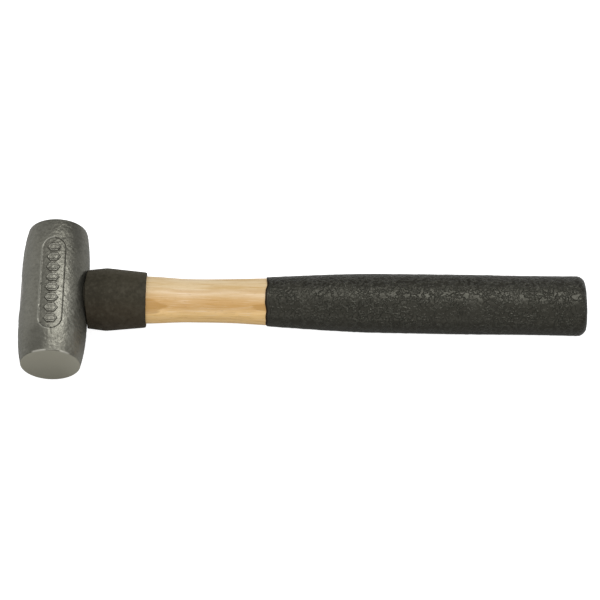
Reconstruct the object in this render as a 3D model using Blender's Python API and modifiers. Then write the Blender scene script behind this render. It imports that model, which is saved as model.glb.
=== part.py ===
"""Lump hammer: a cast barrel head wedged on a hickory handle, with a rubber collar and a dipped grip.

Metres, +Z up. The hammer lies on its side on the plane z = 0, resting on the middle of its head and
on the edge of its butt, and the origin is on that plane under the middle of its box. The handle runs
towards +X, and the head's two striking faces look along -Y and +Y. The pieces are modelled in the
hammer's own frame, whose origin is where the handle's axis crosses the head's, and one empty tips
that frame into the resting position. Below, x is a distance along the handle from the head's axis,
and a section is its (half width along Y, half thickness along Z).
"""

import math

import bmesh
import bpy
import numpy as np
from mathutils import Matrix

# Head: a barrel turned about Y.
HEAD_LENGTH = 0.0860
HEAD_RADIUS = 0.01925  # at the middle
FACE_RADIUS = 0.0167  # where the side meets the striking face
SIDE_POWER = 3.9  # how late the side curves in towards the faces
FACE_FILLET = 0.0007

# Recessed panel on the head's upper side, with a row of raised six-sided pads.
PANEL_LENGTH = 0.0592  # along Y
PANEL_WIDTH = 0.0140
PANEL_DEPTH = 0.0006
PADS = 8
PAD_PITCH = 0.0066
PAD_LENGTH = 0.0052  # along Y
PAD_WIDTH = 0.0080  # from point to point

# Eye: an oval hole along X, waisted so that the wedged handle can't draw out. Full width, full height.
EYE_WAIST = (0.0235, 0.0155)
EYE_HANDLE_MOUTH = (0.0250, 0.0170)
EYE_FAR_MOUTH = (0.0265, 0.0185)

# Handle: from its end in the eye to its butt.
HANDLE_REACH = 0.3009  # head's axis to the butt's outer face
END_INSET = 0.0002  # the handle's end, sanded to the barrel's curve just below it
SHOULDER = (0.01425, 0.01040)  # section where the handle leaves the collar
WAIST = (0.01311, 0.00955)  # thinnest section of the bare neck
WAIST_AT = 0.37  # share of the bare neck, from collar to grip
FLARE = (0.01330, 0.00970)  # section where the neck starts to widen into the grip
FLARE_AT = 0.69

# Grip: a coat dipped over the handle, closed over the butt. Half widths at shares of its length.
GRIP_LENGTH = 0.1812
GRIP_HALF_WIDTHS = (
    (0.00, 0.01490),
    (0.11, 0.01612),
    (0.22, 0.01723),
    (0.33, 0.01788),
    (0.45, 0.01800),
    (0.63, 0.01815),
    (0.80, 0.01795),
    (1.00, 0.01820),
)
GRIP_FLATNESS = 0.72  # half thickness over half width
COAT = 0.0008
LIP_COAT = 0.00035  # the coat's wall at its lip
LIP_TAPER = 0.018  # the stretch over which the coat thins towards its lip
BUTT_COAT = 0.0014
BUTT_ROUND = 0.0050

# Collar: a rubber sleeve that guards the neck next to the head, thickest at a ridge.
COLLAR_LENGTH = 0.0325
COLLAR_HEAD_WALL = 0.0050
COLLAR_RIDGE_WALL = 0.00545
COLLAR_NECK_WALL = 0.0020
COLLAR_RIDGE_AT = 0.0100  # from the collar's end at the head
RIDGE_SOFTNESS = 0.0016  # half the stretch over which the ridge is rounded
COLLAR_ROUND = 0.0008
RIM_HOLLOW_RADIUS = 0.060  # the rim at the head is hollowed to this radius, about Y
RIM_SETBACK = 0.0003  # the rim stands back from the seat, which is hollowed to fit the head
SEAT_WALL = 0.0015

# Wedges, driven into the handle's end and sanded with it. The wooden one spreads it in Z, the two
# steel ones in Y. Lengths run from the barrel's crown.
WOOD_WEDGE = (0.0240, 0.0035, 0.0006)  # length, thickness at its head, thickness at its tip
STEEL_WEDGE = (0.0140, 0.0020, 0.0004)
WOOD_WEDGE_SIDE_ROOM = 0.00075  # from each side of the wedge to the eye, where the eye is narrowest
STEEL_WEDGE_SIDE_ROOM = 0.00225
STEEL_WEDGE_SPACING = 0.0110
KERF_SPARE = 0.0017  # open depth of the sawn kerf past the wedge's tip

GAP = 0.0003  # between pieces that touch
AROUND = 40  # facets around an oval section
HEAD_STEPS = 64
SIDE_POINTS = 17
CUT_MARGIN = 0.003  # how far a cutter runs past what it cuts

END_X = -HEAD_RADIUS
COLLAR_START = HEAD_RADIUS + GAP
COLLAR_END = COLLAR_START + COLLAR_LENGTH
LIP_X = HANDLE_REACH - GRIP_LENGTH
WOOD_WEDGE_WIDTH = min(EYE_WAIST[0], EYE_FAR_MOUTH[0]) - 2 * WOOD_WEDGE_SIDE_ROOM
STEEL_WEDGE_WIDTH = min(EYE_WAIST[1], EYE_FAR_MOUTH[1]) - 2 * STEEL_WEDGE_SIDE_ROOM


# ---- Scene helpers

for old in list(bpy.data.objects):
    bpy.data.objects.remove(old, do_unlink=True)
PARTS = bpy.data.collections.new("lump_hammer")
CUTTERS = bpy.data.collections.new("cutters")
for group in (PARTS, CUTTERS):
    bpy.context.scene.collection.children.link(group)


def resting_pitch():
    """The turn about Y that brings the butt's rounded edge down to the level of the head's side."""
    reach = HANDLE_REACH - BUTT_ROUND
    drop = GRIP_HALF_WIDTHS[-1][1] * GRIP_FLATNESS - BUTT_ROUND
    return math.asin((HEAD_RADIUS - BUTT_ROUND) / math.hypot(reach, drop)) - math.atan2(drop, reach)


def resting_frame():
    frame = bpy.data.objects.new("hammer_frame", None)
    PARTS.objects.link(frame)
    pitch = resting_pitch()
    far_end = HANDLE_REACH * math.cos(pitch) + GRIP_FLATNESS * GRIP_HALF_WIDTHS[-1][1] * math.sin(pitch)
    frame.location = ((HEAD_RADIUS - far_end) / 2, 0, HEAD_RADIUS)
    frame.rotation_euler = (0, pitch, 0)
    return frame


FRAME = resting_frame()


def add_object(name, mesh, material=None):
    """A part where a material is given, and a cutter where none is."""
    obj = bpy.data.objects.new(name, mesh)
    obj.parent = FRAME
    if material:
        mesh.materials.append(material)
        PARTS.objects.link(obj)
    else:
        obj.hide_render = True
        obj.display_type = "WIRE"
        CUTTERS.objects.link(obj)
    return obj


def shade_smooth(mesh, angle=math.radians(35)):
    mesh.shade_smooth()
    mesh.set_sharp_from_angle(angle=angle)


def cut(obj, cutter):
    modifier = obj.modifiers.new("cut " + cutter.name, "BOOLEAN")
    modifier.operation = "DIFFERENCE"
    modifier.object = cutter


def principled(name, color, roughness, metallic=0.0):
    material = bpy.data.materials.new(name)
    material.use_nodes = True
    shader = material.node_tree.nodes["Principled BSDF"]
    shader.inputs["Base Color"].default_value = (*color, 1)
    shader.inputs["Roughness"].default_value = roughness
    shader.inputs["Metallic"].default_value = metallic
    return material


# ---- Curves and sections


def smooth_curve(stations):
    """A function through (place, value) stations that is smooth and never overshoots them."""
    places, values = np.array(stations, float).T
    rises = np.diff(values, axis=0) / np.diff(places)
    slopes = np.concatenate([rises[:1], np.zeros(len(rises) - 1), rises[-1:]])
    for i in range(1, len(rises)):
        before, after = rises[i - 1], rises[i]
        if before * after > 0:
            slopes[i] = 2 * before * after / (before + after)

    def value_at(place):
        i = int(np.clip(np.searchsorted(places, place) - 1, 0, len(rises) - 1))
        span = places[i + 1] - places[i]
        t = (place - places[i]) / span
        start = values[i] * (1 + 2 * t) * (1 - t) ** 2 + values[i + 1] * t * t * (3 - 2 * t)
        return start + span * t * (1 - t) * (slopes[i] * (1 - t) - slopes[i + 1] * t)

    return value_at


def section_curve(stations):
    """The same for (place, section) stations."""
    width = smooth_curve([(place, section[0]) for place, section in stations])
    thickness = smooth_curve([(place, section[1]) for place, section in stations])
    return lambda place: (width(place), thickness(place))


def grown(section, by):
    return section[0] + by, section[1] + by


def eye_section(x):
    """The eye opens from its waist to each mouth as a parabola."""
    mouth = EYE_HANDLE_MOUTH if x > 0 else EYE_FAR_MOUTH
    share = (x / HEAD_RADIUS) ** 2
    return tuple((waist + (wide - waist) * share) / 2 for waist, wide in zip(EYE_WAIST, mouth))


grip_half_width = smooth_curve(GRIP_HALF_WIDTHS)


def grip_section(x):
    half_width = grip_half_width((x - LIP_X) / GRIP_LENGTH)
    return half_width, half_width * GRIP_FLATNESS


def coat_at(x):
    share = min((x - LIP_X) / LIP_TAPER, 1)
    return LIP_COAT + (COAT - LIP_COAT) * share


neck_section = section_curve(
    (
        (HEAD_RADIUS, grown(eye_section(HEAD_RADIUS), -GAP)),
        (COLLAR_END, SHOULDER),
        (COLLAR_END + WAIST_AT * (LIP_X - COLLAR_END), WAIST),
        (COLLAR_END + FLARE_AT * (LIP_X - COLLAR_END), FLARE),
        (LIP_X, grown(grip_section(LIP_X), -LIP_COAT - GAP)),
    )
)


def handle_section(x):
    if x < HEAD_RADIUS:
        return grown(eye_section(x), -GAP)
    if x < LIP_X:
        return neck_section(x)
    return grown(grip_section(x), -coat_at(x) - GAP)


def collar_section(x):
    """Straight from the head end up to the ridge and down to the neck end, with the ridge rounded."""
    ridge_x = COLLAR_START + COLLAR_RIDGE_AT
    head_end = grown(handle_section(COLLAR_START), GAP + COLLAR_HEAD_WALL)
    ridge = grown(handle_section(ridge_x), GAP + COLLAR_RIDGE_WALL)
    neck_end = grown(handle_section(COLLAR_END), GAP + COLLAR_NECK_WALL)

    def straight(at):
        end, run = (head_end, -COLLAR_RIDGE_AT) if at < ridge_x else (neck_end, COLLAR_END - ridge_x)
        share = (at - ridge_x) / run
        return np.array(ridge) * (1 - share) + np.array(end) * share

    if abs(x - ridge_x) >= RIDGE_SOFTNESS:
        return tuple(straight(x))
    share = (x - ridge_x + RIDGE_SOFTNESS) / (2 * RIDGE_SOFTNESS)
    before, after = straight(ridge_x - RIDGE_SOFTNESS), straight(ridge_x + RIDGE_SOFTNESS)
    return tuple(before * (1 - share) ** 2 + 2 * np.array(ridge) * share * (1 - share) + after * share**2)


# ---- Solids


def stations(section_at, start, end, count):
    """(x, section) at even steps from start to end, which may run either way."""
    return [(x, section_at(x)) for x in np.linspace(start, end, count)]


def rounded_edge(x, section, radius, steps=4):
    """The stations of a rounded edge that turns a side with this section into an end face at x."""
    turns = [math.pi / 2 * step / steps for step in range(1, steps + 1)]
    return [
        (x - radius * (1 - math.sin(turn)), grown(section, radius * (math.cos(turn) - 1)))
        for turn in turns
    ]


def oval_ring(x, section, curvature=0.0):
    """The points of an oval at x. With a curvature, it bends back from z = 0 as a cylinder about Y does."""
    points = []
    for i in range(AROUND):
        turn = 2 * math.pi * i / AROUND
        y, z = section[0] * math.cos(turn), section[1] * math.sin(turn)
        bend = (1 - math.sqrt(1 - (curvature * z) ** 2)) / curvature if curvature else 0.0
        points.append((x - bend, y, z))
    return points


def oval_loft(stations_along, closed=False):
    """A skin over (x, section) or (x, section, curvature) stations.

    It is capped at both ends or, if closed, joined end to end as a tube.
    """
    bm = bmesh.new()
    rings = [[bm.verts.new(point) for point in oval_ring(*station)] for station in stations_along]
    for near, far in zip(rings, rings[1:] + rings[:1] if closed else rings[1:]):
        for i in range(AROUND):
            j = (i + 1) % AROUND
            bm.faces.new((near[i], near[j], far[j], far[i]))
    if not closed:
        bm.faces.new(rings[0])
        bm.faces.new(rings[-1])
    bmesh.ops.recalc_face_normals(bm, faces=bm.faces)
    mesh = bpy.data.meshes.new("loft")
    bm.to_mesh(mesh)
    bm.free()
    return mesh


def side_radius(y, inset=0.0):
    """The barrel's radius at a distance y from the head's middle."""
    swell = abs(2 * y / HEAD_LENGTH) ** SIDE_POWER
    return HEAD_RADIUS - (HEAD_RADIUS - FACE_RADIUS) * swell - inset


def turned_head(name, material=None, inset=0.0):
    """The barrel as a turned profile. Its axis is the object's Z, laid along Y."""
    half = HEAD_LENGTH / 2
    side = [(side_radius(y, inset), y) for y in np.linspace(half, -half, SIDE_POINTS)]
    profile = [(0, half), *side, (0, -half)]
    mesh = bpy.data.meshes.new(name)
    points = [(radius, 0, along) for radius, along in profile]
    mesh.from_pydata(points, [(i, i + 1) for i in range(len(points) - 1)], [])
    obj = add_object(name, mesh, material)
    obj.rotation_euler = (math.pi / 2, 0, 0)
    screw = obj.modifiers.new("turn", "SCREW")
    screw.steps = screw.render_steps = HEAD_STEPS
    screw.use_merge_vertices = True
    screw.merge_threshold = 0.00001
    return obj


def prism(name, outline, low, high):
    """An upright prism over a flat outline of (x, y) points, from z = low to z = high."""
    bm = bmesh.new()
    base = bm.faces.new([bm.verts.new((x, y, low)) for x, y in outline])
    top = bmesh.ops.extrude_face_region(bm, geom=[base])["geom"]
    raised = [item for item in top if isinstance(item, bmesh.types.BMVert)]
    bmesh.ops.translate(bm, verts=raised, vec=(0, 0, high - low))
    bmesh.ops.recalc_face_normals(bm, faces=bm.faces)
    mesh = bpy.data.meshes.new(name)
    bm.to_mesh(mesh)
    bm.free()
    return mesh


def wedge_mesh(size, width, clearance=0.0, extra_length=0.0):
    """A wedge with its head at x = 0 and its tip towards +X, its faces tapering in Z.

    With a clearance it is the cutter for its own slot, and that reaches past the head.
    """
    length, thick, tip = size
    taper = (tip - thick) / length
    start = -CUT_MARGIN if clearance else 0.0
    end = length + extra_length + clearance
    bm = bmesh.new()
    bmesh.ops.create_cube(bm, size=1)
    for vert in bm.verts:
        x = end if vert.co.x > 0 else start
        vert.co.x = x
        vert.co.y *= width + 2 * clearance
        vert.co.z *= thick + taper * x + 2 * clearance
    mesh = bpy.data.meshes.new("wedge")
    bm.to_mesh(mesh)
    bm.free()
    return mesh


# ---- The pieces


def make_panel_cutter():
    """What is cast out of the head's upper side: a stadium, down to a barrel-shaped floor."""
    half_run = (PANEL_LENGTH - PANEL_WIDTH) / 2
    radius = PANEL_WIDTH / 2
    arcs = 12
    outline = []
    for end, first in ((1, 0), (-1, math.pi)):
        for step in range(arcs + 1):
            turn = first + math.pi * step / arcs
            outline.append((radius * math.cos(turn), end * half_run + radius * math.sin(turn)))
    low, high = HEAD_RADIUS * 0.7, HEAD_RADIUS + CUT_MARGIN
    panel = add_object("panel_cutter", prism("panel_cutter", outline, low, high))
    cut(panel, turned_head("panel_floor_cutter", inset=PANEL_DEPTH))
    for index in range(PADS):
        middle = (index - (PADS - 1) / 2) * PAD_PITCH
        upper = [(share * PAD_WIDTH, middle + PAD_LENGTH / 2) for share in (0.25, -0.25)]
        lower = [(share * PAD_WIDTH, middle - PAD_LENGTH / 2) for share in (-0.25, 0.25)]
        corners = [(PAD_WIDTH / 2, middle), *upper, (-PAD_WIDTH / 2, middle), *lower]
        name = f"panel_pad_{index + 1}"
        cut(panel, add_object(name, prism(name, corners, low - CUT_MARGIN, high + CUT_MARGIN)))
    return panel


def make_head():
    metal = principled("cast_metal", (0.19, 0.185, 0.155), 0.48, 0.85)
    head = turned_head("head", metal)
    fillet = head.modifiers.new("round the face edges", "BEVEL")
    fillet.width = FACE_FILLET
    fillet.segments = 3
    fillet.limit_method = "ANGLE"
    fillet.angle_limit = math.radians(60)
    run = HEAD_RADIUS + CUT_MARGIN
    eye = add_object("eye_cutter", oval_loft(stations(eye_section, -run, run, 15)))
    cut(head, eye)
    cut(head, make_panel_cutter())


def make_steel_wedges():
    """Two steel wedges side by side, and the cutters of their slots, as two lists."""
    steel = principled("wedge_steel", (0.30, 0.30, 0.31), 0.40, 1.0)
    wedges, slots = [], []
    for index, side in enumerate((-1, 1)):
        place = Matrix.Translation((END_X, side * STEEL_WEDGE_SPACING / 2, 0))
        pose = place @ Matrix.Rotation(math.pi / 2, 4, "X")
        wedge_shape = wedge_mesh(STEEL_WEDGE, STEEL_WEDGE_WIDTH)
        slot_shape = wedge_mesh(STEEL_WEDGE, STEEL_WEDGE_WIDTH, GAP)
        wedge = add_object(f"steel_wedge_{index + 1}", wedge_shape, steel)
        slot = add_object(f"steel_wedge_slot_{index + 1}", slot_shape)
        wedge.matrix_local = pose
        slot.matrix_local = pose
        wedges.append(wedge)
        slots.append(slot)
    return wedges, slots


def make_tongue_trim():
    """What is sanded off the tongue and its wedges: all that stands out of the barrel on its far side."""
    size = (HEAD_RADIUS, 2 * EYE_FAR_MOUTH[0], 2 * EYE_FAR_MOUTH[1])
    bm = bmesh.new()
    bmesh.ops.create_cube(bm, size=1)
    bmesh.ops.scale(bm, verts=bm.verts, vec=size)
    bmesh.ops.translate(bm, verts=bm.verts, vec=(END_X, 0, 0))
    mesh = bpy.data.meshes.new("trim")
    bm.to_mesh(mesh)
    bm.free()
    trim = add_object("tongue_trim", mesh)
    cut(trim, turned_head("tongue_trim_floor", inset=END_INSET))
    return trim


def make_handle_and_wood_wedge():
    hickory = principled("hickory", (0.62, 0.40, 0.20), 0.38)
    butt_x = HANDLE_REACH - BUTT_COAT - GAP
    inner_round = BUTT_ROUND - COAT - GAP
    along = (
        stations(handle_section, END_X, HEAD_RADIUS, 10)
        + stations(handle_section, HEAD_RADIUS, LIP_X, 18)[1:]
        + stations(handle_section, LIP_X, LIP_X + LIP_TAPER, 4)[1:]
        + stations(handle_section, LIP_X + LIP_TAPER, butt_x - inner_round, 12)[1:]
        + rounded_edge(butt_x, handle_section(butt_x - inner_round), inner_round)
    )
    handle_mesh = oval_loft(along)
    shade_smooth(handle_mesh)
    handle = add_object("handle", handle_mesh, hickory)
    wedge = add_object("wood_wedge", wedge_mesh(WOOD_WEDGE, WOOD_WEDGE_WIDTH), hickory)
    wedge.location.x = END_X
    right_through = 2 * max(EYE_WAIST[0], EYE_FAR_MOUTH[0], EYE_HANDLE_MOUTH[0])
    kerf = add_object("kerf_cutter", wedge_mesh(WOOD_WEDGE, right_through, GAP, KERF_SPARE))
    kerf.location.x = END_X
    cut(handle, kerf)
    steel_wedges, slots = make_steel_wedges()
    for slot in slots:
        cut(handle, slot)
        cut(wedge, slot)
    trim = make_tongue_trim()
    for piece in (handle, wedge, *steel_wedges):
        cut(piece, trim)


def make_collar():
    rubber = principled("collar_rubber", (0.035, 0.033, 0.028), 0.62)
    rim_x = COLLAR_START + RIM_SETBACK
    ridge_start = COLLAR_START + COLLAR_RIDGE_AT - RIDGE_SOFTNESS
    ridge_end = ridge_start + 2 * RIDGE_SOFTNESS
    round_start = COLLAR_END - COLLAR_ROUND
    rim_curvature = 1 / RIM_HOLLOW_RADIUS
    seat_curvature = 1 / (HEAD_RADIUS + GAP)

    def bore_section(x):
        return grown(handle_section(x), GAP)

    def bent(plain, end, curvature):
        """Bends the stations more and more towards the head, from none at end."""
        start = plain[0][0]
        return [(x, section, curvature * (end - x) / (end - start)) for x, section in plain]

    outside = (
        bent(stations(collar_section, rim_x, ridge_start, 5), ridge_start, rim_curvature)
        + stations(collar_section, ridge_start, ridge_end, 5)[1:]
        + stations(collar_section, ridge_end, round_start, 7)[1:]
        + rounded_edge(COLLAR_END, collar_section(round_start), COLLAR_ROUND, 3)
    )
    bore = bent(stations(bore_section, COLLAR_START, COLLAR_END, 9), COLLAR_END, seat_curvature)
    seat = grown(bore_section(COLLAR_START), SEAT_WALL)
    along = outside + bore[::-1] + [(COLLAR_START, seat, seat_curvature), (rim_x, seat, rim_curvature)]
    mesh = oval_loft(along, closed=True)
    shade_smooth(mesh)
    add_object("collar", mesh, rubber)


def make_grip():
    coat = principled("grip_coat", (0.032, 0.031, 0.026), 0.58)
    butt_x = HANDLE_REACH - BUTT_COAT
    inner_round = BUTT_ROUND - COAT
    side_end = HANDLE_REACH - BUTT_ROUND
    taper_end = LIP_X + LIP_TAPER

    def bore_section(x):
        return grown(grip_section(x), -coat_at(x))

    bore = (
        stations(bore_section, LIP_X, taper_end, 4)
        + stations(bore_section, taper_end, butt_x - inner_round, 12)[1:]
        + rounded_edge(butt_x, bore_section(butt_x - inner_round), inner_round)
    )
    outside = (
        stations(grip_section, LIP_X, taper_end, 4)
        + stations(grip_section, taper_end, side_end, 12)[1:]
        + rounded_edge(HANDLE_REACH, grip_section(side_end), BUTT_ROUND)
    )
    mesh = oval_loft(bore[::-1] + outside)
    shade_smooth(mesh)
    add_object("grip", mesh, coat)


make_head()
make_handle_and_wood_wedge()
make_collar()
make_grip()
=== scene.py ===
"""Looks of the lump hammer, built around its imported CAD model.

Every piece is modelled in the hammer's own frame: its origin is where the handle's axis crosses the
head's, x runs along the handle, the head is turned about y, and z points up out of the side that
shows. One matrix, REST, lays that frame down where the CAD has it. Lengths are in metres.
"""

import math

import bmesh
import bpy
import numpy as np
from mathutils import Matrix, Vector


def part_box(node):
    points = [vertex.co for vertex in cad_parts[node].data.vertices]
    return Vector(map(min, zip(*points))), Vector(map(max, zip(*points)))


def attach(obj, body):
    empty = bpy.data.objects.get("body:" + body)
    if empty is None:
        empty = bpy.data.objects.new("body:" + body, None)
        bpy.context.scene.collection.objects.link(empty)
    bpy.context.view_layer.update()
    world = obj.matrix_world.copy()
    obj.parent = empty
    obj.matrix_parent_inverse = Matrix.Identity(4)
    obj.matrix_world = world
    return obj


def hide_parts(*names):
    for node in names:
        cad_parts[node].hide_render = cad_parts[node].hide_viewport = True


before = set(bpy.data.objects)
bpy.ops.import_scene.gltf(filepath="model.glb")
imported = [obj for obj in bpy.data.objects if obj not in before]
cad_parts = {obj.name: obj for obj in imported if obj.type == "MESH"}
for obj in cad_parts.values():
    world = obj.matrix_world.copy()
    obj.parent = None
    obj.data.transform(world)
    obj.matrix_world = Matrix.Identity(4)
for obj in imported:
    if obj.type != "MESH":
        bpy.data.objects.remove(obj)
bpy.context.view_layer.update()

MM = 0.001
ALONG = (1.0, 0.0, 0.0)  # the handle's direction, from head to butt
ACROSS = (0.0, 1.0, 0.0)  # the head's

# ---- Sizes, as in the CAD

HEAD_LENGTH = 86.0 * MM
HEAD_RADIUS = 19.25 * MM  # at the middle
FACE_RADIUS = 16.7 * MM  # where the side meets a striking face
SIDE_POWER = 3.9  # how late the side curves in towards the faces
FACE_FILLET = 0.7 * MM

PANEL_LENGTH = 59.2 * MM
PANEL_WIDTH = 14.0 * MM
PANEL_DEPTH = 0.6 * MM
PADS = 8
PAD_PITCH = 6.6 * MM
PAD_LENGTH = 5.2 * MM
PAD_WIDTH = 8.0 * MM

EYE_WAIST = (23.5 * MM, 15.5 * MM)
EYE_HANDLE_MOUTH = (25.0 * MM, 17.0 * MM)
EYE_FAR_MOUTH = (26.5 * MM, 18.5 * MM)

HANDLE_REACH = 300.9 * MM  # the head's axis to the butt's outer face
END_INSET = 0.2 * MM  # the handle's end, this far under the barrel's curve
SHOULDER = (14.25 * MM, 10.40 * MM)  # section where the handle leaves the collar
WAIST = (13.11 * MM, 9.55 * MM)  # thinnest section of the bare neck
WAIST_AT = 0.37  # share of the bare neck, from collar to grip
FLARE = (13.30 * MM, 9.70 * MM)  # section where the neck starts to widen into the grip
FLARE_AT = 0.69

GRIP_LENGTH = 181.2 * MM
GRIP_HALF_WIDTHS = (  # by share of the grip's length
    (0.00, 14.90 * MM),
    (0.11, 16.12 * MM),
    (0.22, 17.23 * MM),
    (0.33, 17.88 * MM),
    (0.45, 18.00 * MM),
    (0.63, 18.15 * MM),
    (0.80, 17.95 * MM),
    (1.00, 18.20 * MM),
)
GRIP_FLATNESS = 0.72  # half thickness over half width
COAT = 0.8 * MM
LIP_COAT = 0.35 * MM  # the coat's wall at its lip
LIP_TAPER = 18 * MM  # the stretch over which the coat thins towards its lip
BUTT_COAT = 1.4 * MM
BUTT_ROUND = 5.0 * MM

COLLAR_LENGTH = 32.5 * MM
COLLAR_HEAD_WALL = 5.0 * MM
COLLAR_RIDGE_WALL = 5.45 * MM
COLLAR_NECK_WALL = 2.0 * MM
COLLAR_RIDGE_AT = 10.0 * MM  # from the collar's end at the head
RIDGE_SOFTNESS = 1.6 * MM  # half the stretch over which the ridge is rounded
RIM_HOLLOW_RADIUS = 60 * MM
SEAT_WALL = 1.5 * MM

WOOD_WEDGE = (24.0 * MM, 22.0 * MM, 3.5 * MM, 0.6 * MM)  # length, width, thickness at head and tip
STEEL_WEDGE = (14.0 * MM, 11.0 * MM, 2.0 * MM, 0.4 * MM)
STEEL_WEDGE_SPACING = 11.0 * MM

GAP = 0.3 * MM  # between pieces that touch
END_X = -HEAD_RADIUS
COLLAR_START = HEAD_RADIUS + GAP
COLLAR_END = COLLAR_START + COLLAR_LENGTH
RIDGE_X = COLLAR_START + COLLAR_RIDGE_AT
LIP_X = HANDLE_REACH - GRIP_LENGTH
BARE_NECK = LIP_X - COLLAR_END


def resting_matrix():
    """The hammer's own frame as the CAD has it: tipped until its butt is as low as its head."""
    half_thickness = GRIP_HALF_WIDTHS[-1][1] * GRIP_FLATNESS
    reach, drop = HANDLE_REACH - BUTT_ROUND, half_thickness - BUTT_ROUND
    pitch = math.asin((HEAD_RADIUS - BUTT_ROUND) / math.hypot(reach, drop)) - math.atan2(drop, reach)
    low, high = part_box("head")
    middle = Vector((low.x + HEAD_RADIUS, (low.y + high.y) / 2, HEAD_RADIUS))
    return Matrix.Translation(middle) @ Matrix.Rotation(pitch, 4, "Y")


REST = resting_matrix()


# ---- Curves and sections


def smooth_curve(stations):
    """A function through (place, value) stations that is smooth and never overshoots them."""
    places, values = np.array(stations, float).T
    rises = np.diff(values) / np.diff(places)
    slopes = np.concatenate([rises[:1], np.zeros(len(rises) - 1), rises[-1:]])
    for i in range(1, len(rises)):
        if rises[i - 1] * rises[i] > 0:
            slopes[i] = 2 * rises[i - 1] * rises[i] / (rises[i - 1] + rises[i])

    def value_at(place):
        i = np.clip(np.searchsorted(places, place) - 1, 0, len(rises) - 1)
        span = places[i + 1] - places[i]
        t = (place - places[i]) / span
        start = values[i] * (1 + 2 * t) * (1 - t) ** 2 + values[i + 1] * t * t * (3 - 2 * t)
        return start + span * t * (1 - t) * (slopes[i] * (1 - t) - slopes[i + 1] * t)

    return value_at


def eye_section(x):
    mouth = EYE_HANDLE_MOUTH if x > 0 else EYE_FAR_MOUTH
    share = (x / HEAD_RADIUS) ** 2
    return np.array([(waist + (wide - waist) * share) / 2 for waist, wide in zip(EYE_WAIST, mouth)])


grip_half_width = smooth_curve(GRIP_HALF_WIDTHS)


def grip_section(x):
    half_width = grip_half_width(np.clip((x - LIP_X) / GRIP_LENGTH, 0, 1))
    return np.array([half_width, half_width * GRIP_FLATNESS])


def coat_at(x):
    share = min(max(x - LIP_X, 0) / LIP_TAPER, 1)
    return LIP_COAT + (COAT - LIP_COAT) * share


NECK_STATIONS = [
    (HEAD_RADIUS, eye_section(HEAD_RADIUS) - GAP),
    (COLLAR_END, SHOULDER),
    (COLLAR_END + WAIST_AT * BARE_NECK, WAIST),
    (COLLAR_END + FLARE_AT * BARE_NECK, FLARE),
    (LIP_X, grip_section(LIP_X) - LIP_COAT - GAP),
]
neck_width = smooth_curve([(x, section[0]) for x, section in NECK_STATIONS])
neck_thickness = smooth_curve([(x, section[1]) for x, section in NECK_STATIONS])


def handle_section(x):
    if x < HEAD_RADIUS:
        return eye_section(x) - GAP
    if x < LIP_X:
        return np.array([neck_width(x), neck_thickness(x)])
    return grip_section(x) - coat_at(x) - GAP


# ---- Mesh helpers


def waves(points, wavelength, count, seed):
    """The sum of `count` ripples of about one wavelength, running all ways, with unit spread."""
    draw = np.random.RandomState(seed)
    ways = draw.normal(size=(count, 3))
    ways *= (2 * math.pi / wavelength) / np.linalg.norm(ways, axis=1, keepdims=True)
    ways *= draw.uniform(0.82, 1.22, (count, 1))
    phases = draw.uniform(0, 2 * math.pi, count)
    return np.sqrt(2 / count) * np.sin(points @ ways.T + phases).sum(axis=-1)


def smoothstep(low, high, value):
    share = np.clip((value - low) / (high - low), 0, 1)
    return share * share * (3 - 2 * share)


def spaced(limits_and_steps):
    """Values over (low, high, step) stretches, each at its own step and without its high end."""
    values = []
    for low, high, step in limits_and_steps:
        values += list(np.linspace(low, high, max(2, round((high - low) / step) + 1)))[:-1]
    return np.array(values)


def arc(count, start=0.0, end=math.pi / 2):
    return np.linspace(start, end, count)


def rounded_end(x, section, radius, ways, turns):
    """Stations of a quarter round from an end at x to a side of this section, ways being +1 or -1."""
    return [
        (x + radius * (1 - math.sin(t)) * ways, section + radius * (math.cos(t) - 1)) for t in turns
    ]


def ovals(stations, around):
    """Rings of points, (ring, point, xyz), over (x, section) stations."""
    turns = np.linspace(0, 2 * math.pi, around, endpoint=False)
    return np.array(
        [
            np.stack([np.full(around, x), wide * np.cos(turns), thick * np.sin(turns)], axis=1)
            for x, (wide, thick) in stations
        ]
    )


def outward(rings):
    """The unit direction from the handle's axis at each ring point, across its oval."""
    wide = np.abs(rings[..., 1]).max(axis=1)[:, None]
    thick = np.abs(rings[..., 2]).max(axis=1)[:, None]
    ways = [np.zeros(rings.shape[:2]), rings[..., 1] / wide**2, rings[..., 2] / thick**2]
    normals = np.stack(ways, -1)
    return normals / np.linalg.norm(normals, axis=-1, keepdims=True)


def skin(rings, closed=False):
    """The faces over rings of points: capped at both ends, or joined end to end as a tube."""
    count, around = rings.shape[:2]
    index = np.arange(count * around).reshape(count, around)
    near, far = (index, np.roll(index, -1, axis=0)) if closed else (index[:-1], index[1:])
    quads = np.stack([near, np.roll(near, -1, axis=1), np.roll(far, -1, axis=1), far], -1)
    faces = quads.reshape(-1, 4).tolist()
    if not closed:
        faces += [index[0][::-1].tolist(), index[-1].tolist()]
    return faces


def make_object(name, points, faces):
    """A closed mesh in the hammer's frame, facing outwards."""
    mesh = bpy.data.meshes.new(name)
    mesh.from_pydata(np.asarray(points).reshape(-1, 3).tolist(), [], faces)
    bm = bmesh.new()
    bm.from_mesh(mesh)
    bmesh.ops.recalc_face_normals(bm, faces=bm.faces)
    bm.to_mesh(mesh)
    bm.free()
    obj = bpy.data.objects.new(name, mesh)
    bpy.context.scene.collection.objects.link(obj)
    obj.matrix_world = REST
    return obj


def make_piece(name, points, faces, slot, node, material, sharp):
    """A piece that rides in place of its CAD node. Edges over `sharp` degrees stay sharp."""
    obj = make_object(name, points, faces)
    obj.data.shade_smooth()
    obj.data.set_sharp_from_angle(angle=math.radians(sharp))
    obj.data.materials.append(material)
    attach(obj, "root")
    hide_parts(node)
    return obj


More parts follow.
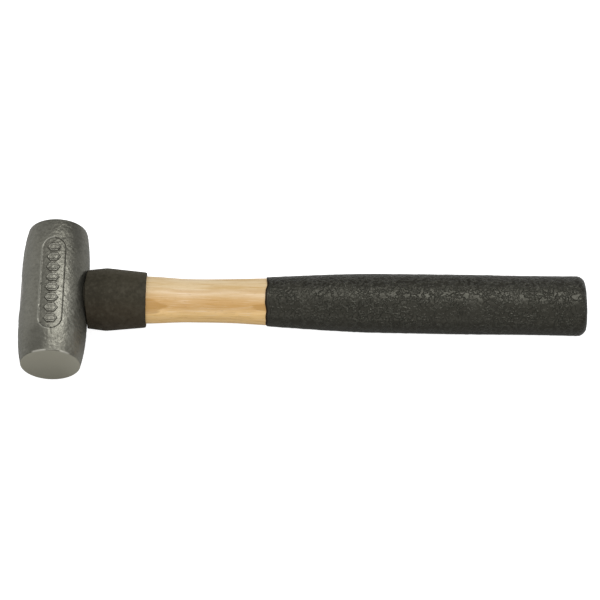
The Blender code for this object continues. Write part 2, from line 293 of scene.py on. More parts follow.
def set_shares(obj, shares):
    """Gives each point its share of each named thing, for the material to read."""
    for name, values in shares.items():
        attribute = obj.data.attributes.new(name, "FLOAT", "POINT")
        attribute.data.foreach_set("value", values.ravel())


def cut_with(obj, points, faces):
    """Cuts a closed shape out of a piece, and keeps only the result."""
    cutter = make_object("cutter", points, faces)
    modifier = obj.modifiers.new("cut", "BOOLEAN")
    modifier.object = cutter
    modifier.operation = "DIFFERENCE"
    bpy.context.view_layer.update()
    graph = bpy.context.evaluated_depsgraph_get()
    result = bpy.data.meshes.new_from_object(obj.evaluated_get(graph))
    obj.modifiers.clear()
    obj.data = result
    bpy.data.objects.remove(cutter)


# ---- Materials


class Nodes:
    """A material's node tree, with short calls for the nodes that the materials share."""

    def __init__(self, name):
        self.material = bpy.data.materials.new(name)
        self.material.use_nodes = True
        self.tree = self.material.node_tree
        self.shader = self.tree.nodes["Principled BSDF"]
        self.place = self.add("ShaderNodeTexCoord").outputs["Object"]

    def add(self, kind, **settings):
        node = self.tree.nodes.new(kind)
        for key, value in settings.items():
            setattr(node, key, value)
        return node

    def join(self, source, target):
        if isinstance(source, (int, float, tuple)):
            target.default_value = source
        else:
            self.tree.links.new(source, target)

    def math(self, operation, *values):
        node = self.add("ShaderNodeMath", operation=operation)
        for value, socket in zip(values, node.inputs):
            self.join(value, socket)
        return node.outputs[0]

    def vector(self, operation, *values):
        node = self.add("ShaderNodeVectorMath", operation=operation)
        for value, socket in zip(values, node.inputs):
            self.join(value, socket)
        return node.outputs["Value" if operation in ("DOT_PRODUCT", "LENGTH") else "Vector"]

    def toward(self, direction):
        """How far each point lies in a direction."""
        return self.vector("DOT_PRODUCT", self.place, direction)

    def noise(self, place, size, detail=2.0, roughness=0.5):
        """Noise whose lumps are about `size` across, in metres."""
        node = self.add("ShaderNodeTexNoise")
        self.join(place, node.inputs["Vector"])
        node.inputs["Scale"].default_value = 1 / size
        node.inputs["Detail"].default_value = detail
        node.inputs["Roughness"].default_value = roughness
        return node.outputs["Fac"]

    def patch(self, middle, reach):
        """One inside a soft-edged oval patch, and zero outside it."""
        away = self.vector("DIVIDE", self.vector("SUBTRACT", self.place, middle), reach)
        return self.span(self.vector("LENGTH", away), 0.35, 1.0, 1.0, 0.0)

    def stretched(self, times):
        """The place for a noise that is drawn out this many times along the handle."""
        return self.vector("MULTIPLY", self.place, (1 / times, 1, 1))

    def span(self, value, low, high, to_low=0.0, to_high=1.0):
        """Carries low to high over to to_low to to_high, smoothly, and stays level outside."""
        node = self.add("ShaderNodeMapRange", interpolation_type="SMOOTHSTEP")
        for source, socket in zip((value, low, high, to_low, to_high), node.inputs):
            self.join(source, socket)
        return node.outputs["Result"]

    def mix(self, factor, first, second):
        node = self.add("ShaderNodeMix", data_type="RGBA")
        self.join(factor, node.inputs["Factor"])
        self.join(first, node.inputs[6])
        self.join(second, node.inputs[7])
        return node.outputs[2]

    def bump(self, heights):
        """Chains (height, depth in metres) pairs into the shader's normal."""
        normal = None
        for height, depth in heights:
            node = self.add("ShaderNodeBump")
            node.inputs["Distance"].default_value = depth
            self.join(height, node.inputs["Height"])
            if normal:
                self.join(normal, node.inputs["Normal"])
            normal = node.outputs["Normal"]
        self.join(normal, self.shader.inputs["Normal"])

    def attribute(self, name):
        return self.add("ShaderNodeAttribute", attribute_name=name).outputs["Fac"]

    def finish(self, color, roughness, **fixed):
        """Joins up the shader. The fixed values are for sockets, named with _ for each space."""
        self.join(color, self.shader.inputs["Base Color"])
        self.join(roughness, self.shader.inputs["Roughness"])
        for socket, value in fixed.items():
            self.shader.inputs[socket.replace("_", " ")].default_value = value
        return self.material


# Patches of painted shade on the casting's skin, and patches of painted highlight. Each is a soft oval
# patch: its middle, its reach each way, and its strength.
SHADE_PATCHES = (
    ((7.5 * MM, 35 * MM, 17 * MM), (13.5 * MM, 36 * MM, 14 * MM), 0.52),
    ((0 * MM, -35 * MM, 18 * MM), (9 * MM, 11 * MM, 10 * MM), 0.25),
    ((-6.5 * MM, -36 * MM, 16 * MM), (8.5 * MM, 14 * MM, 12 * MM), 0.48),
)
HIGHLIGHT_PATCHES = (
    ((8 * MM, -14 * MM, 17 * MM), (8 * MM, 20 * MM, 12 * MM), 0.24),
    ((16 * MM, -32 * MM, 8 * MM), (9 * MM, 18 * MM, 14 * MM), 0.55),
    ((-15 * MM, 2 * MM, 10 * MM), (9 * MM, 56 * MM, 13 * MM), 0.20),
)


def cast_metal():
    """Grey cast alloy: a grainy skin with a dull film and smooth faces, with patches of painted shade
    and painted highlight, a painted highlight on the near face's rim, and painted shade about the panel.
    """
    n = Nodes("cast_metal")
    film = n.noise(n.place, 14 * MM, 4, 0.6)
    mottle = n.noise(n.place, 2.0 * MM, 3, 0.6)
    grain = n.noise(n.place, 0.95 * MM, 2, 0.6)
    speck = n.noise(n.place, 0.35 * MM, 2, 0.6)
    machined = n.attribute("machined")
    bare_and_highlight = (0.34, 0.335, 0.29, 1)
    color = n.mix(n.span(film, 0.3, 0.7), (0.168, 0.165, 0.137, 1), (0.205, 0.200, 0.167, 1))
    color = n.mix(n.span(mottle, 0.50, 0.34, 0.0, 0.28), color, (0.085, 0.083, 0.068, 1))
    color = n.mix(n.span(mottle, 0.52, 0.66, 0.0, 0.24), color, (0.30, 0.295, 0.255, 1))
    color = n.mix(n.span(grain, 0.42, 0.66, 0.0, 0.24), color, (0.26, 0.255, 0.215, 1))
    # Painted shade: darkens the skin in patches where the barrel should catch less light.
    for middle, reach, share in SHADE_PATCHES:
        spot = n.math("MULTIPLY", n.patch(middle, reach), share)
        color = n.mix(spot, color, (0.080, 0.078, 0.064, 1))
    # Painted highlight: lightens the skin in patches towards the bare metal colour, where the barrel
    # should catch more light.
    for middle, reach, share in HIGHLIGHT_PATCHES:
        spot = n.math("MULTIPLY", n.patch(middle, reach), share)
        color = n.mix(spot, color, bare_and_highlight)
    # Pad crests worn bright, and a painted highlight along the panel's left edge.
    color = n.mix(n.attribute("worn_and_highlight"), color, bare_and_highlight)
    color = n.mix(machined, color, (0.39, 0.376, 0.303, 1))
    # Painted highlight on stretches of the near face's rim.
    color = n.mix(n.attribute("rim_highlight"), color, (0.56, 0.545, 0.48, 1))
    # Painted shade in the panel's corners, at the pads' feet and over the left of its floor.
    color = n.mix(n.attribute("crease_shade"), color, (0.045, 0.042, 0.034, 1))
    rough = n.span(film, 0.3, 0.7, 0.35, 0.43)
    skin_depth = n.math("SUBTRACT", 1.0, machined)
    n.bump(
        [
            (n.math("MULTIPLY", mottle, skin_depth), 0.14 * MM),
            (n.math("MULTIPLY", grain, skin_depth), 0.155 * MM),
            (n.math("MULTIPLY", speck, skin_depth), 0.05 * MM),
        ]
    )
    return n.finish(color, rough, Metallic=0.88)


def rubber():
    """Moulded rubber with a faint bloom and fine scuffs, lighter and warmer on its near side, with
    painted light on its far side and towards the neck, and painted shade towards the head.
    """
    n = Nodes("collar_rubber")
    bloom = n.noise(n.place, 9 * MM, 4, 0.6)
    scuffs = n.noise(n.place, 2.4 * MM, 4, 0.65)
    pores = n.noise(n.place, 0.5 * MM, 3, 0.6)
    far_side_light = n.span(n.toward(ACROSS), 4 * MM, 15 * MM, 0.0, 0.9)
    near_side = n.span(n.toward(ACROSS), -5 * MM, -15 * MM, 0.0, 0.8)
    head_shade = n.span(n.toward(ALONG), COLLAR_START, COLLAR_END, 0.40, 0.0)
    neck_light = n.span(n.toward(ALONG), COLLAR_START, COLLAR_END, 0.0, 0.25)
    color = n.mix(n.span(bloom, 0.3, 0.7), (0.019, 0.0160, 0.0095, 1), (0.026, 0.0225, 0.0135, 1))
    # Painted light: lighter on the far side, which faces the key light.
    color = n.mix(far_side_light, color, (0.058, 0.051, 0.034, 1))
    color = n.mix(near_side, color, (0.034, 0.0235, 0.0135, 1))
    # Painted shade: darker towards the head.
    color = n.mix(head_shade, color, (0.012, 0.0100, 0.0060, 1))
    # Painted light: lighter towards the neck end.
    color = n.mix(neck_light, color, (0.044, 0.038, 0.025, 1))
    color = n.mix(n.span(scuffs, 0.46, 0.68, 0.0, 0.42), color, (0.050, 0.044, 0.031, 1))
    color = n.mix(n.span(scuffs, 0.46, 0.30, 0.0, 0.50), color, (0.010, 0.0085, 0.0055, 1))
    n.bump([(scuffs, 0.05 * MM), (pores, 0.05 * MM)])
    return n.finish(
        color,
        n.span(scuffs, 0.3, 0.7, 0.70, 0.58),
        Specular_IOR_Level=0.30,
        Specular_Tint=(1.0, 0.93, 0.76, 1),
    )


def grip_coat():
    """Dipped coating: fine crooked wrinkles, none of them near its lip, which is thin and brownish."""
    n = Nodes("grip_coat")
    patches = n.noise(n.place, 12 * MM, 4, 0.6)
    worms = n.noise(n.place, 2.8 * MM, 1.5, 0.5)
    grain = n.noise(n.place, 0.6 * MM, 3, 0.65)
    lip = n.attribute("lip")
    wrinkled = n.attribute("wrinkled")
    off_line = n.math("ABSOLUTE", n.math("SUBTRACT", worms, 0.5))
    crest = n.math("MULTIPLY", n.span(off_line, 0.0, 0.10, 1.0, 0.0), wrinkled)
    dark, light = (0.0070, 0.0062, 0.0040, 1), (0.0112, 0.0102, 0.0068, 1)
    color = n.mix(n.span(patches, 0.3, 0.7), dark, light)
    # Painted highlight: the wrinkles' crests are painted lighter.
    color = n.mix(crest, color, (0.024, 0.0235, 0.0185, 1))
    color = n.mix(lip, color, (0.012, 0.005, 0.002, 1))
    n.bump([(crest, 0.42 * MM), (grain, 0.06 * MM)])
    n.join(n.span(lip, 0.0, 1.0, 0.42, 0.10), n.shader.inputs["Specular IOR Level"])
    return n.finish(
        color, n.span(patches, 0.3, 0.7, 0.30, 0.38), Specular_Tint=(1.0, 0.985, 0.83, 1)
    )


# Hickory. The tree's growth layers face LAYERS_FACE, climb by LAYER_SLOPE along the handle, and are
# curved across it. A darker layer starts LAYER_START out from the axis: the neck's thicker ends reach
# into it, which leaves a V at each end of the bare neck.
LAYERS_FACE = (0.0, -0.504, 0.864)
LAYERS_SIDE = (0.0, 0.864, 0.504)  # square to LAYERS_FACE, across the handle
LAYERS_MIDDLE = -3.5 * MM  # how far towards LAYERS_SIDE the curve's middle lies
LAYER_RADIUS = 45 * MM
LAYER_SLOPE = 0.0030
LAYER_START = 10.83 * MM
LAYER_PITCH = 2.7 * MM
LAYER_SWAY = 1.1 * MM

# The head's grey, carried over the handle's end where it fills the eye's far mouth.
SEAL_GREY = (0.165, 0.162, 0.146, 1)
SEAL_START = -15.0 * MM


def sealed(n, color):
    """A colour, covered by the grey at the handle's end in the head."""
    cover = n.span(n.toward(ALONG), SEAL_START, SEAL_START - 1 * MM, 0.0, 0.92)
    return n.mix(cover, color, SEAL_GREY)


def layer_share(n):
    """How far through its growth layer each point lies, from 0 at the dark side to 1 at the pale."""
    sway = n.math("SUBTRACT", n.noise(n.stretched(12), 3.2 * MM, 2, 0.5), 0.5)
    aside = n.math("SUBTRACT", n.toward(LAYERS_SIDE), LAYERS_MIDDLE)
    curve = n.math("DIVIDE", n.math("MULTIPLY", aside, aside), 2 * LAYER_RADIUS)
    depth = n.math("ADD", n.toward(LAYERS_FACE), n.toward((-LAYER_SLOPE, 0.0, 0.0)))
    depth = n.math("ADD", depth, curve)
    depth = n.math("ADD", depth, n.math("MULTIPLY", sway, LAYER_SWAY))
    layer = n.math("DIVIDE", n.math("SUBTRACT", depth, LAYER_START), LAYER_PITCH)
    return n.math("FRACT", n.math("ADD", layer, 40.0))  # any whole number that keeps it positive


def hickory(name, end_grain=False):
    """Lacquered hickory: fine streaks and pores along it, over its growth layers."""
    n = Nodes(name)
    across = n.toward(ACROSS)
    broad = n.noise(n.stretched(12), 4.5 * MM, 3, 0.55)
    streak = n.noise(n.stretched(24), 0.55 * MM, 4, 0.62)
    pores = n.noise(n.stretched(10), 0.26 * MM, 1, 0.5)
    color = n.mix(n.span(broad, 0.34, 0.66), (0.725, 0.560, 0.330, 1), (0.590, 0.395, 0.165, 1))
    near_side = n.span(across, 1.0 * MM, -6.5 * MM, 0.0, 0.70)
    color = n.mix(near_side, color, (0.61, 0.325, 0.080, 1))
    near_edge = n.span(across, -8.5 * MM, -12.0 * MM, 0.0, 0.75)
    color = n.mix(near_edge, color, (0.95, 0.63, 0.25, 1))

    late = (0.455, 0.230, 0.035, 1)
    share = layer_share(n)
    paling = n.math("SUBTRACT", 1.0, n.span(share, 0.10, 0.55))
    band = n.math("MULTIPLY", n.span(share, 0.0, 0.05), paling)
    strong = n.span(across, -11.4 * MM, -12.8 * MM, 0.66, 0.20)
    strong = n.math("MULTIPLY", strong, n.span(across, -1 * MM, 3 * MM, 1.0, 0.20))
    band = n.math("MULTIPLY", band, strong)
    color = n.mix(band, color, late)

    color = n.mix(n.span(streak, 0.50, 0.74, 0.0, 0.48), color, late)
    off_band = n.span(band, 0.15, 0.5, 1.0, 0.2)
    pale_streak = n.math("MULTIPLY", n.span(streak, 0.48, 0.28, 0.0, 0.50), off_band)
    color = n.mix(pale_streak, color, (0.83, 0.66, 0.44, 1))
    color = n.mix(n.span(pores, 0.66, 0.76, 0.0, 0.40), color, (0.33, 0.17, 0.06, 1))
    if end_grain:
        color = n.mix(0.45, color, (0.40, 0.235, 0.10, 1))
    n.bump([(streak, 0.035 * MM), (pores, 0.02 * MM)])
    rough = n.span(broad, 0.34, 0.66, 0.36, 0.46)
    return n.finish(sealed(n, color), rough, Coat_Weight=0.35, Coat_Roughness=0.22)


def wedge_steel():
    """Mild steel, ground flush with the handle's end."""
    n = Nodes("wedge_steel")
    scratches = n.noise(n.vector("MULTIPLY", n.place, (1, 1, 1 / 30)), 0.25 * MM, 3, 0.6)
    rust = n.noise(n.place, 2.2 * MM, 4, 0.65)
    color = n.mix(n.span(rust, 0.52, 0.72), (0.34, 0.34, 0.345, 1), (0.17, 0.10, 0.06, 1))
    n.bump([(scratches, 0.03 * MM)])
    return n.finish(sealed(n, color), n.span(scratches, 0.3, 0.7, 0.32, 0.48), Metallic=0.9)


# ---- Head


HALF_LENGTH = HEAD_LENGTH / 2
NARROWING = HEAD_RADIUS - FACE_RADIUS


def side_radius(y):
    return HEAD_RADIUS - NARROWING * np.abs(y / HALF_LENGTH) ** SIDE_POWER


def face_edge():
    """Points (y, radius) of the rounded edge from a face to the side."""
    slope = NARROWING * SIDE_POWER / HALF_LENGTH
    y = HALF_LENGTH - FACE_FILLET
    radius = FACE_RADIUS + FACE_FILLET * (slope - math.hypot(1, slope))
    turns = arc(9, 0, math.atan2(1, slope))
    return [(y + FACE_FILLET * math.cos(t), radius + FACE_FILLET * math.sin(t)) for t in turns]


def line(distance, at, width):
    """One on the line at this distance, falling off to nothing within about its width."""
    return np.exp(-(((distance - at) / width) ** 2))


def panel_relief(u, y):
    """Height of the panel and its pads over the barrel, the wear on their crests plus a painted
    highlight along the panel's left edge, and painted shade in its corners, at the pads' feet and over
    the left of its floor.

    u is the distance around the barrel from the panel's middle line. Each pad has a raised border and
    a shallow hollow in its middle.
    """
    radius = PANEL_WIDTH / 2
    past_run = np.maximum(np.abs(y) - (PANEL_LENGTH / 2 - radius), 0)
    from_edge = radius - np.hypot(past_run, u)
    floor = smoothstep(0, 0.45 * MM, from_edge)

    from_middle = np.abs((y / PAD_PITCH + PADS / 2) % 1 - 0.5) * PAD_PITCH
    past_straight = np.maximum(np.abs(u) - PAD_WIDTH / 4, 0)
    from_pad = PAD_LENGTH / 2 - from_middle - past_straight * PAD_LENGTH / PAD_WIDTH * 2
    from_pad = np.where(np.abs(y) < PADS * PAD_PITCH / 2, from_pad, -1.0)
    hollow = smoothstep(1.05 * MM, 1.4 * MM, from_pad)
    ring = smoothstep(0, 0.35 * MM, from_pad) * (1 - 0.75 * hollow)
    height = PANEL_DEPTH * (0.92 * ring - 1) * floor

    # Painted highlight: a bright line along the panel's left edge.
    left_edge = line(from_edge, -0.1 * MM, 0.45 * MM) * (u < 0)
    worn_and_highlight = 0.22 * ring * floor + 0.80 * left_edge
    # Painted shade: darker in the panel's inner corner (more on its right side), at the pads' feet, and
    # over the left of its floor.
    corner = line(from_edge, 0.45 * MM, 0.35 * MM) * np.where(u > 0, 1.0, 0.5)
    pad_foot = line(from_pad, -0.1 * MM, 0.38 * MM) * floor
    floor_shade = floor * smoothstep(5.5 * MM, -3 * MM, u) * (1 - 0.8 * ring)
    crease_shade = 0.9 * corner + 0.8 * pad_foot + 0.24 * floor_shade
    return height, np.clip(worn_and_highlight, 0, 1), np.clip(crease_shade, 0, 1)


# Stretches of the near face's rim given a painted highlight: middle and reach of each, in degrees from
# +z.
RIM_HIGHLIGHTS = ((-19.0, 17.0), (32.0, 12.0))


def head_profile():
    """Points (y, radius) of the head from one face's middle to the other's, densest at the panel."""
    edge = face_edge()
    side_end = edge[-1][0]
    panel_end = PANEL_LENGTH / 2 + 0.6 * MM
    rows = spaced(
        [
            (-side_end, -panel_end, 0.5 * MM),
            (-panel_end, panel_end, 0.3 * MM),
            (panel_end, side_end, 0.5 * MM),
        ]
    )
    face = [(HALF_LENGTH, r) for r in np.linspace(1 * MM, edge[0][1], 14)[:-1]] + edge[:-1]
    near = [(-y, r) for y, r in face]
    side = [(y, side_radius(y)) for y in rows]
    return np.array(near + side + edge[-1:] + face[::-1])


def around_barrel(radius, y, angles):
    return np.stack([radius * np.sin(angles), y, radius * np.cos(angles)], -1)


def cast_unevenness(points):
    fine = 0.035 * MM * waves(points, 2.3 * MM, 60, 3)
    middling = 0.040 * MM * waves(points, 6 * MM, 40, 4)
    broad = 0.05 * MM * waves(points, 19 * MM, 30, 5)
    return np.clip(fine + middling + broad, -0.15 * MM, 0.10 * MM)


def make_head():
    half_panel = PANEL_WIDTH / 2 + 1 * MM
    circumference = 2 * math.pi * HEAD_RADIUS
    around = spaced(
        [
            (-half_panel, half_panel, 0.25 * MM),
            (half_panel, circumference - half_panel, 0.6 * MM),
        ]
    )
    angles = (around / HEAD_RADIUS + math.pi) % (2 * math.pi) - math.pi
    y, radius = head_profile().T[:, :, None] * np.ones(len(angles))
    height, worn_and_highlight, crease_shade = panel_relief(angles * HEAD_RADIUS, y)
    from_face = HALF_LENGTH - np.abs(y)
    on_side = smoothstep(0.2 * MM, 1.6 * MM, from_face)
    relief = height + cast_unevenness(around_barrel(radius, y, angles))
    points = around_barrel(radius + relief * on_side, y, angles)
    head = make_piece("head_casting", points, skin(points), "cast_metal", "head", cast_metal(), 50)

    # Painted highlight: bright stretches along the near face's rim.
    rim_highlight = np.zeros(len(angles))
    for middle, reach in RIM_HIGHLIGHTS:
        off_middle = np.abs(np.degrees(angles) - middle)
        rim_highlight = np.maximum(rim_highlight, smoothstep(reach, 0.6 * reach, off_middle))
    on_rim = smoothstep(1.1 * MM, 0.7 * MM, from_face) * smoothstep(0.0, 0.12 * MM, from_face)
    shares = {
        "machined": smoothstep(0.35 * MM, 0.1 * MM, from_face),
        "rim_highlight": rim_highlight * on_rim * (y < 0),
        "worn_and_highlight": worn_and_highlight,
        "crease_shade": crease_shade,
    }
    set_shares(head, shares)
    cut_with(head, *eye_shape())


def eye_shape():
    """The eye as a closed shape, its mouths eased where they meet the barrel's surface."""
    mouth_round = 0.3 * MM
    outside = HEAD_RADIUS + 3 * MM
    inside = 14.5 * MM  # the mouths' edges all lie further out than this
    xs = spaced(
        [
            (-outside, -inside, 0.2 * MM),
            (-inside, inside, 1.5 * MM),
            (inside, outside, 0.2 * MM),
        ]
    )
    rings = ovals([(x, eye_section(x)) for x in xs], 160)
    surface = side_radius(rings[..., 1])
    depth = surface - np.hypot(rings[..., 0], rings[..., 2])
    ease = mouth_round - np.clip(depth, 0, mouth_round)
    flare = mouth_round - np.sqrt(mouth_round**2 - ease**2)
    rings = rings + outward(rings) * flare[..., None]
    return rings, skin(rings)


# ---- Handle and wedges


def wedge_shape(length, width, thick, tip, across_z=False, margin=0.0, open_end=0.0):
    """Corners and faces of a wedge that starts open_end outside the handle's end and points inwards.

    It tapers in z, or in y if across_z. The margin is added on every side and at its tip.
    """
    start, end = END_X - open_end, END_X + length + margin
    points = []
    for x in (start, end):
        half_thick = (thick + (tip - thick) * (x - END_X) / length) / 2 + margin
        half_width = width / 2 + margin
        for a, b in ((-1, -1), (1, -1), (1, 1), (-1, 1)):
            pair = (a * half_width, b * half_thick)
            points.append((x, *(pair[::-1] if across_z else pair)))
    faces = [(0, 1, 2, 3), (7, 6, 5, 4), (0, 4, 5, 1), (1, 5, 6, 2), (2, 6, 7, 3), (3, 7, 4, 0)]
    return np.array(points), faces


SLOT_ROOM = 0.06 * MM  # between a wedge and its slot
CUT_MARGIN = 3 * MM  # how far a cutter runs past what it cuts
PAST_HANDLE = 20 * MM  # further out from the axis than any of the handle in the head


def trim_shape():
    """What is sanded off the handle's end and its wedges: all that stands out of the barrel."""
    radius = HEAD_RADIUS - END_INSET
    half_turn = math.asin(EYE_FAR_MOUTH[1] * 0.7 / radius)
    turns = arc(41, -half_turn, half_turn)
    outline = [(-radius * math.cos(t), radius * math.sin(t)) for t in turns]
    outside = END_X - 5 * MM
    outline += [(outside, outline[-1][1]), (outside, outline[0][1])]
    rings = np.array([[(x, y, z) for x, z in outline] for y in (-PAST_HANDLE, PAST_HANDLE)])
    return rings, skin(rings)


def steel_wedge_shapes(*room):
    """The two steel wedges, or their slots where room gives a slot's room and margin."""
    for side in (-1, 1):
        points, faces = wedge_shape(*STEEL_WEDGE, True, *room)
        yield points + (0, side * STEEL_WEDGE_SPACING / 2, 0), faces


def make_handle():
    butt_x = HANDLE_REACH - BUTT_COAT - GAP
    butt_round = BUTT_ROUND - COAT - GAP
    side_end = butt_x - butt_round
    xs = spaced(
        [
            (END_X, HEAD_RADIUS, 1.5 * MM),
            (HEAD_RADIUS, COLLAR_END - 2 * MM, 2 * MM),
            (COLLAR_END - 2 * MM, LIP_X + 3 * MM, 0.8 * MM),
            (LIP_X + 3 * MM, side_end, 6 * MM),
        ]
    )
    stations = [(x, handle_section(x)) for x in xs]
    stations += rounded_end(butt_x, handle_section(side_end), butt_round, -1, arc(7))
    rings = ovals(stations, 144)
    shaving = 0.05 * MM * waves(rings / (4, 1, 1), 9 * MM, 30, 11)
    rings += outward(rings) * shaving[..., None]
    wood = hickory("hickory")
    handle = make_piece("hickory_handle", rings, skin(rings), "hickory", "handle", wood, 40)
    length, _, thick, tip = WOOD_WEDGE
    kerf = wedge_shape(length, 2 * PAST_HANDLE, thick, tip, False, SLOT_ROOM, CUT_MARGIN)
    cut_with(handle, *kerf)
    for slot in steel_wedge_shapes(SLOT_ROOM, CUT_MARGIN):
        cut_with(handle, *slot)
    cut_with(handle, *trim_shape())


def bevel(obj, width):
    modifier = obj.modifiers.new("soften", "BEVEL")
    modifier.width = width
    modifier.segments = 3
    modifier.limit_method = "ANGLE"


def make_wedges():
    wood = hickory("wedge_wood", end_grain=True)
    wedge = make_piece("kerf_wedge", *wedge_shape(*WOOD_WEDGE), "hickory", "wood_wedge", wood, 30)
    for slot in steel_wedge_shapes(SLOT_ROOM, CUT_MARGIN):
        cut_with(wedge, *slot)
    cut_with(wedge, *trim_shape())
    bevel(wedge, 0.12 * MM)
    steel = wedge_steel()
    for index, shape in enumerate(steel_wedge_shapes()):
        name = f"steel_wedge_{index + 1}"
        piece = make_piece(f"cross_{name}", *shape, "wedge_steel", name, steel, 30)
        cut_with(piece, *trim_shape())
        bevel(piece, 0.15 * MM)


# ---- Collar


def collar_section(x):
    """Straight from each end to a softened ridge."""
    head_end = handle_section(COLLAR_START) + GAP + COLLAR_HEAD_WALL
    ridge = handle_section(RIDGE_X) + GAP + COLLAR_RIDGE_WALL
    neck_end = handle_section(COLLAR_END) + GAP + COLLAR_NECK_WALL

    def straight(at):
        end_x, end = (COLLAR_START, head_end) if at < RIDGE_X else (COLLAR_END, neck_end)
        share = (at - RIDGE_X) / (end_x - RIDGE_X)
        return ridge * (1 - share) + end * share

    if abs(x - RIDGE_X) >= RIDGE_SOFTNESS:
        return straight(x)
    share = (x - RIDGE_X + RIDGE_SOFTNESS) / (2 * RIDGE_SOFTNESS)
    before, after = straight(RIDGE_X - RIDGE_SOFTNESS), straight(RIDGE_X + RIDGE_SOFTNESS)
    return before * (1 - share) ** 2 + 2 * ridge * share * (1 - share) + after * share**2


def make_collar():
    """A sleeve with a hollowed rim at the head, and inside the rim a seat that fits the head."""
    rim_x = HEAD_RADIUS + 0.12 * MM
    head_round, neck_round, inner_round = 0.35 * MM, 0.6 * MM, 0.5 * MM
    rim_wall = 2.2 * MM
    groove_x = rim_x + 0.9 * MM
    bore_gap = 0.09 * MM

    outside = rounded_end(rim_x, collar_section(rim_x), head_round, 1, arc(7)[::-1])
    side = np.linspace(rim_x + head_round, RIDGE_X, 26)[1:].tolist()
    side += np.linspace(RIDGE_X, COLLAR_END - neck_round, 40)[1:-1].tolist()
    outside += [(x, collar_section(x)) for x in side]
    outside += rounded_end(COLLAR_END, collar_section(COLLAR_END), neck_round, -1, arc(7))
    bore = [(x, handle_section(x) + bore_gap) for x in np.linspace(COLLAR_END, COLLAR_START, 24)]
    seat = handle_section(COLLAR_START) + GAP + SEAT_WALL
    inner = collar_section(rim_x) - rim_wall - inner_round
    inside = [(COLLAR_START, seat), (groove_x, seat + 0.1 * MM), (groove_x, inner)]
    for t in arc(5):
        inside.append((rim_x + inner_round * (1 - math.sin(t)), inner + inner_round * (1 - math.cos(t))))
    rings = ovals(outside + bore + inside, 160)

    # At the head, the bore and the seat are hollowed to the barrel, and the rest more flatly.
    seated = np.zeros(len(rings), bool)
    seated[len(outside) : len(outside) + len(bore) + 2] = True
    radius = np.where(seated, COLLAR_START, RIM_HOLLOW_RADIUS)[:, None]
    end = np.where(seated, COLLAR_END, RIDGE_X)[:, None]
    toward_head = np.clip((end - rings[..., 0]) / (end - COLLAR_START), 0, 1)
    rings[..., 0] -= (radius - np.sqrt(radius**2 - rings[..., 2] ** 2)) * toward_head
    make_piece("rubber_collar", rings, skin(rings, True), "collar_rubber", "collar", rubber(), 50)


# ---- Grip


def grip_rings():
    """The coat, from the middle of its inner end back to its lip and out again to the butt's middle."""
    side_end = HANDLE_REACH - BUTT_ROUND
    end_section = grip_section(side_end)
    lip_round = 0.28 * MM
    bore = [(x, grip_section(x) - coat_at(x)) for x in spaced([(LIP_X, side_end, 4 * MM)])]
    bore += rounded_end(HANDLE_REACH - COAT, end_section - COAT, BUTT_ROUND - COAT, -1, arc(5))
    lip = rounded_end(LIP_X, grip_section(LIP_X), lip_round, 1, arc(6)[::-1])
    side = [(x, grip_section(x)) for x in spaced([(LIP_X + lip_round, side_end, 0.45 * MM)])][1:]
    butt = rounded_end(HANDLE_REACH, end_section, BUTT_ROUND, -1, arc(19))
    flat = butt[-1][1]
    butt += [(HANDLE_REACH, flat * share) for share in np.linspace(1, 0.06, 22)[1:]]
    return ovals(bore[::-1] + lip + side + butt, 220), len(bore)


LIP_WAVES = (  # around the lip: height, count, start
    (0.42 * MM, 2, 0.6),
    (0.30 * MM, 5, 2.2),
    (0.16 * MM, 11, 1.0),
)


def make_grip():
    rings, inner = grip_rings()
    past_lip = rings[..., 0] - LIP_X
    turns = np.linspace(0, 2 * math.pi, rings.shape[1], endpoint=False)
    unevenness = sum(height * np.sin(count * turns + start) for height, count, start in LIP_WAVES)
    rings[..., 0] += unevenness * (1 - smoothstep(0, 6 * MM, past_lip))

    worms = waves(rings, 2.2 * MM, 90, 21)
    lumps = waves(rings, 5.5 * MM, 50, 22)
    patchy = 0.45 + 0.55 * smoothstep(-1.6, 0.9, waves(rings, 16 * MM, 30, 23))
    wrinkled = smoothstep(0.9 * MM, 3.2 * MM, past_lip)
    relief = (0.025 * MM * worms * patchy + 0.025 * MM * lumps) * wrinkled
    relief[:inner] = 0
    toward_butt = smoothstep(HANDLE_REACH - BUTT_ROUND, HANDLE_REACH, rings[..., 0])[..., None]
    normals = outward(rings) * (1 - toward_butt) + np.array(ALONG) * toward_butt
    normals /= np.linalg.norm(normals, axis=-1, keepdims=True)
    rings = rings + normals * relief[..., None]
    rings[..., 0] = np.minimum(rings[..., 0], HANDLE_REACH + 0.05 * MM)

    grip = make_piece("dipped_grip", rings, skin(rings), "grip_coat", "grip", grip_coat(), 60)
    lip_share = 1 - smoothstep(0.9 * MM, 1.2 * MM, past_lip)
    set_shares(grip, {"lip": lip_share, "wrinkled": wrinkled * patchy})


# ---- Stage, light and camera


def make_floor():
    """A floor that looks white, by a glow that falls on nothing but the floor itself."""
    mesh = bpy.data.meshes.new("floor")
    bm = bmesh.new()
    bmesh.ops.create_grid(bm, x_segments=1, y_segments=1, size=4)
    bm.to_mesh(mesh)
    bm.free()
    floor = bpy.data.objects.new("floor", mesh)
    bpy.context.scene.collection.objects.link(floor)
    material = bpy.data.materials.new("floor")
    material.use_nodes = True
    shader = material.node_tree.nodes["Principled BSDF"]
    settings = {
        "Base Color": (0.58, 0.58, 0.58, 1),
        "Roughness": 0.9,
        "Specular IOR Level": 0.0,
        "Emission Color": (1.0, 1.0, 1.0, 1),
        "Emission Strength": 0.90,
    }
    for socket, value in settings.items():
        shader.inputs[socket].default_value = value
    mesh.materials.append(material)
    lit_by_glow = bpy.data.collections.new("lit_by_floor_glow")
    lit_by_glow.objects.link(floor)
    floor.light_linking.receiver_collection = lit_by_glow


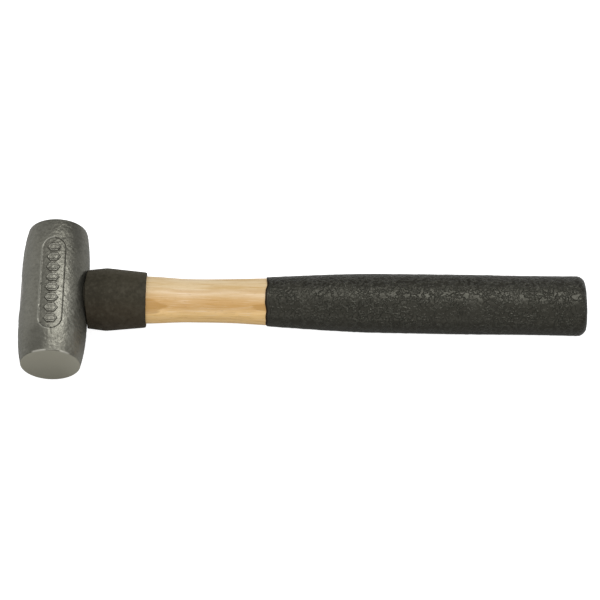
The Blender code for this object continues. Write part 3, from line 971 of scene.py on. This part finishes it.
def area_light(name, direction, along, distance, size, power):
    """A rectangle of light that faces the hammer from a direction, its length lying along another."""
    light = bpy.data.lights.new(name, "AREA")
    light.shape = "RECTANGLE"
    light.size, light.size_y = size
    light.energy = power
    obj = bpy.data.objects.new(name, light)
    bpy.context.scene.collection.objects.link(obj)
    away = Vector(direction).normalized()
    side = (Vector(along) - away * away.dot(Vector(along))).normalized()
    turn = Matrix((side, away.cross(side), away)).transposed().to_4x4()
    obj.matrix_world = Matrix.Translation(away * distance) @ turn


def make_world():
    """A soft white room: dimmer in front, on the left and low beyond, darkest low on the right."""
    world = bpy.data.worlds.new("room")
    bpy.context.scene.world = world
    world.use_nodes = True
    tree = world.node_tree
    back = tree.nodes["Background"]
    place = tree.nodes.new("ShaderNodeTexCoord")
    split = tree.nodes.new("ShaderNodeSeparateXYZ")
    tree.links.new(place.outputs["Generated"], split.inputs[0])

    def span(source, low, high, to_low, to_high):
        node = tree.nodes.new("ShaderNodeMapRange")
        node.interpolation_type = "SMOOTHSTEP"
        tree.links.new(source, node.inputs[0])
        for socket, value in zip(node.inputs[1:5], (low, high, to_low, to_high)):
            socket.default_value = value
        return node.outputs["Result"]

    def times(first, second):
        node = tree.nodes.new("ShaderNodeMath")
        node.operation = "MULTIPLY"
        tree.links.new(first, node.inputs[0])
        tree.links.new(second, node.inputs[1])
        return node.outputs[0]

    sides, ahead, height = split.outputs
    right = times(span(sides, 0.25, 0.85, 0.0, 1.0), span(height, 0.15, 0.65, 1.0, 0.0))
    front = times(span(ahead, 0.3, -0.6, 0.0, 1.0), span(height, 0.4, 0.95, 1.0, 0.0))
    beyond = times(span(ahead, 0.54, 0.74, 0.0, 1.0), span(height, 0.6, 1.0, 1.0, 0.0))
    left = times(span(sides, -0.3, -0.7, 0.0, 1.0), span(ahead, 0.45, 0.15, 0.0, 1.0))
    level = span(right, 0.0, 1.0, 0.93, 0.23)
    for region, dimmed in ((front, 0.58), (beyond, 0.28), (left, 0.70)):
        level = times(level, span(region, 0.0, 1.0, 1.0, dimmed))
    tree.links.new(level, back.inputs["Strength"])
    back.inputs["Color"].default_value = (1.0, 1.0, 1.0, 1)


CAMERA_ELEVATION = math.radians(59.37)
CAMERA_ROLL = math.radians(0.20)
CAMERA_DISTANCE = 1.387
CAMERA_LENS = 146.9  # mm, on a 36 mm sensor
CAMERA_AIM = Vector((-1.98 * MM, 1.08 * MM, 16.95 * MM))


def make_camera():
    camera = bpy.data.objects.new("camera", bpy.data.cameras.new("camera"))
    bpy.context.scene.collection.objects.link(camera)
    camera.data.lens = CAMERA_LENS
    camera.data.sensor_width = 36
    camera.data.clip_start = 0.05
    camera.data.clip_end = 20
    back = Vector((0, -math.cos(CAMERA_ELEVATION), math.sin(CAMERA_ELEVATION)))
    camera.location = CAMERA_AIM + back * CAMERA_DISTANCE
    tilt = Matrix.Rotation(math.pi / 2 - CAMERA_ELEVATION, 4, "X")
    camera.rotation_euler = (tilt @ Matrix.Rotation(CAMERA_ROLL, 4, "Z")).to_euler()
    bpy.context.scene.camera = camera


make_camera()
make_world()
make_floor()
area_light("key_softbox", (0.23, 0.41, 0.885), ALONG, distance=1.6, size=(1.0, 0.42), power=9.6)
area_light("front_softbox", (-0.05, -0.85, 0.50), ALONG, distance=1.6, size=(1.0, 0.30), power=2.4)
bpy.context.scene.view_settings.view_transform = "Standard"

make_head()
make_handle()
make_wedges()
make_collar()
make_grip()
